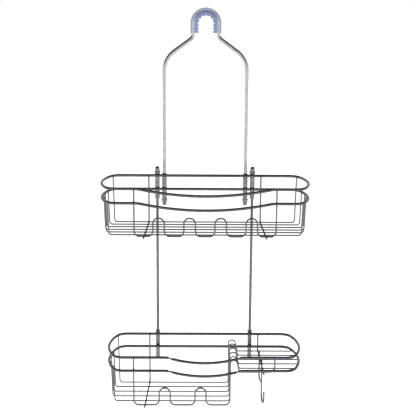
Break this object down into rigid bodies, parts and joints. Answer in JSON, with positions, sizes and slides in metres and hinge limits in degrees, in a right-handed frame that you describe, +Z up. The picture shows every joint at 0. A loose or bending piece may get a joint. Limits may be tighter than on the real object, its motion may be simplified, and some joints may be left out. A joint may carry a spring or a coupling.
{
  "type": "shower caddy",
  "caption": "Over-the-arm shower caddy of bent steel wire: a gripped hanger, a bottle basket that slides on its legs, and a lower basket with soap dish, razor loops and towel hook.",
  "frame": {"origin": "seat under the grip's arch, where the shower arm bears, on the hanger's mid plane", "axes": "+X to the right seen from the user's side, +Y towards the wall, +Z up along the legs"},
  "size_m": [0.3538, 0.1328, 0.6841],
  "materials": {
    "hanger_steel": "polished",
    "polished_steel": "polished",
    "brushed_rail": "satin",
    "thin_wire": "satin",
    "clear_vinyl": "soft translucent"
  },
  "bodies": {
    "hanger": {"hanger_wire": "hanger_steel", "hook_grip": "clear_vinyl", "hanger_cap_left": "polished_steel", "hanger_cap_right": "polished_steel"},
    "upper_basket": {"upper_top_rail": "brushed_rail", "upper_lower_rail": "brushed_rail", "upper_floor_wire_1": "thin_wire", "upper_floor_wire_2": "thin_wire", "upper_floor_wire_3": "thin_wire", "upper_floor_wire_4": "thin_wire", "upper_floor_wire_5": "thin_wire", "upper_floor_wire_6": "thin_wire", "upper_front_wire": "thin_wire", "upper_cross_wire_left": "thin_wire", "upper_cross_wire_right": "thin_wire", "hanger_sleeve_left": "polished_steel", "hanger_sleeve_right": "polished_steel", "rod_sleeve_left": "polished_steel", "rod_sleeve_right": "polished_steel"},
    "lower_basket": {"rod_left": "thin_wire", "rod_right": "thin_wire", "rod_cap_left": "polished_steel", "rod_cap_right": "polished_steel", "rod_socket_left": "polished_steel", "rod_socket_right": "polished_steel", "lower_top_rail": "brushed_rail", "lower_lower_rail": "brushed_rail", "lower_long_wire_1": "thin_wire", "lower_long_wire_2": "thin_wire", "lower_long_wire_3": "thin_wire", "lower_long_wire_4": "thin_wire", "lower_long_wire_5": "thin_wire", "lower_front_wire": "thin_wire", "lower_cross_wire": "thin_wire", "dish_cross_wire": "thin_wire", "towel_hook": "thin_wire", "towel_hook_brace": "thin_wire"}
  },
  "joints": [
    {"name": "upper_basket_slide", "type": "slide", "parent": "hanger", "child": "upper_basket", "axis": [0, 0, 1], "range_m": [0, 0.11]},
    {"name": "lower_basket_slide", "type": "slide", "parent": "upper_basket", "child": "lower_basket", "axis": [0, 0, 1], "range_m": [0, 0.12]}
  ]
}
